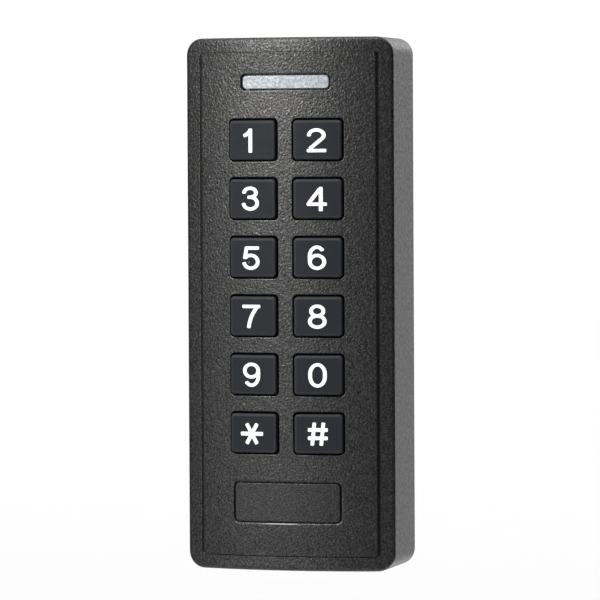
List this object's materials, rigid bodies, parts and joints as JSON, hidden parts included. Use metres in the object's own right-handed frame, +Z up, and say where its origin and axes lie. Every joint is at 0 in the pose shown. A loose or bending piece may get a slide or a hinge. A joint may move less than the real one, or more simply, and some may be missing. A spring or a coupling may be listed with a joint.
{
  "type": "keypad access reader",
  "caption": "Upright wall-mounted access reader with a crowned textured cover, a rubber keypad, a status light bar, a blank badge and a screw-on back plate.",
  "frame": {"origin": "centre of the cable entry in the mounting plate, on the plane of the wall", "axes": "+Y points into the wall, so the front looks along -Y; +Z is up the reader; +X is to the right seen from the front"},
  "size_m": [0.0504, 0.0239, 0.125],
  "materials": {
    "cover_plastic": "coarse spark-eroded texture",
    "badge_plastic": "fine texture",
    "lens_plastic": "milky, pale cool white",
    "key_rubber": "smooth matte silicone",
    "legend_ink": "thick white printing ink",
    "mat_silicone": "smooth matte silicone",
    "spring_steel": "bright",
    "led_package": "glossy",
    "clear_plastic": "clear",
    "black_plastic": "smooth moulded",
    "copper_wire": "enamelled copper",
    "board_green": "solder resist",
    "board_blue": "solder resist",
    "zinc_steel": "zinc plated",
    "stainless_steel": "turned",
    "chip_resin": "moulded resin",
    "ferrite_core": "sintered",
    "tin_plate": "bright tin",
    "capacitor_can": "drawn can",
    "header_plastic": "natural nylon",
    "gold_pins": "gold flash",
    "window_red": "infra-red filter plastic",
    "rear_cover_plastic": "fine texture",
    "gasket_silicone": "matte",
    "grommet_rubber": "matte",
    "adhesive_tape": "double-sided tape",
    "plate_plastic": "fine moulded texture"
  },
  "bodies": {
    "housing": {"front_cover": "cover_plastic", "led_lens": "lens_plastic", "badge_plate": "badge_plastic", "badge_adhesive": "adhesive_tape", "keypad_mat": "mat_silicone", "snap_domes": "spring_steel", "key_leds": "led_package", "status_leds": "led_package", "light_guide": "clear_plastic", "light_shroud": "black_plastic", "antenna_coil": "copper_wire", "main_board": "board_green", "board_screws": "zinc_steel", "controller_chip": "chip_resin", "radio_chip": "chip_resin", "bluetooth_module": "board_blue", "module_shield": "tin_plate", "crystals": "tin_plate", "regulator_chip": "chip_resin", "power_inductor": "ferrite_core", "capacitors": "capacitor_can", "surge_diodes": "chip_resin", "chip_resistors": "chip_resin", "buzzer": "black_plastic", "wire_header": "header_plastic", "header_pins": "gold_pins", "tamper_sensor": "chip_resin", "tamper_window": "window_red", "ferrite_sheet": "ferrite_core", "rear_cover": "rear_cover_plastic", "rear_cover_screws": "zinc_steel", "cover_gasket": "gasket_silicone", "cable_grommet": "grommet_rubber", "mounting_plate": "plate_plastic", "security_screw": "stainless_steel"},
    "key_1": {"key_1": "key_rubber"},
    "key_2": {"key_2": "key_rubber"},
    "key_3": {"key_3": "key_rubber"},
    "key_4": {"key_4": "key_rubber"},
    "key_5": {"key_5": "key_rubber"},
    "key_6": {"key_6": "key_rubber"},
    "key_7": {"key_7": "key_rubber"},
    "key_8": {"key_8": "key_rubber"},
    "key_9": {"key_9": "key_rubber"},
    "key_0": {"key_0": "key_rubber"},
    "key_star": {"key_star": "key_rubber"},
    "key_hash": {"key_hash": "key_rubber"}
  },
  "joints": [
    {"name": "key_1_press", "type": "slide", "parent": "housing", "child": "key_1", "axis": [0, 1, 0], "range_m": [0, 0.0008], "stiffness_N_per_m": 1000},
    {"name": "key_2_press", "type": "slide", "parent": "housing", "child": "key_2", "axis": [0, 1, 0], "range_m": [0, 0.0008], "stiffness_N_per_m": 1000},
    {"name": "key_3_press", "type": "slide", "parent": "housing", "child": "key_3", "axis": [0, 1, 0], "range_m": [0, 0.0008], "stiffness_N_per_m": 1000},
    {"name": "key_4_press", "type": "slide", "parent": "housing", "child": "key_4", "axis": [0, 1, 0], "range_m": [0, 0.0008], "stiffness_N_per_m": 1000},
    {"name": "key_5_press", "type": "slide", "parent": "housing", "child": "key_5", "axis": [0, 1, 0], "range_m": [0, 0.0008], "stiffness_N_per_m": 1000},
    {"name": "key_6_press", "type": "slide", "parent": "housing", "child": "key_6", "axis": [0, 1, 0], "range_m": [0, 0.0008], "stiffness_N_per_m": 1000},
    {"name": "key_7_press", "type": "slide", "parent": "housing", "child": "key_7", "axis": [0, 1, 0], "range_m": [0, 0.0008], "stiffness_N_per_m": 1000},
    {"name": "key_8_press", "type": "slide", "parent": "housing", "child": "key_8", "axis": [0, 1, 0], "range_m": [0, 0.0008], "stiffness_N_per_m": 1000},
    {"name": "key_9_press", "type": "slide", "parent": "housing", "child": "key_9", "axis": [0, 1, 0], "range_m": [0, 0.0008], "stiffness_N_per_m": 1000},
    {"name": "key_0_press", "type": "slide", "parent": "housing", "child": "key_0", "axis": [0, 1, 0], "range_m": [0, 0.0008], "stiffness_N_per_m": 1000},
    {"name": "key_star_press", "type": "slide", "parent": "housing", "child": "key_star", "axis": [0, 1, 0], "range_m": [0, 0.0008], "stiffness_N_per_m": 1000},
    {"name": "key_hash_press", "type": "slide", "parent": "housing", "child": "key_hash", "axis": [0, 1, 0], "range_m": [0, 0.0008], "stiffness_N_per_m": 1000}
  ]
}
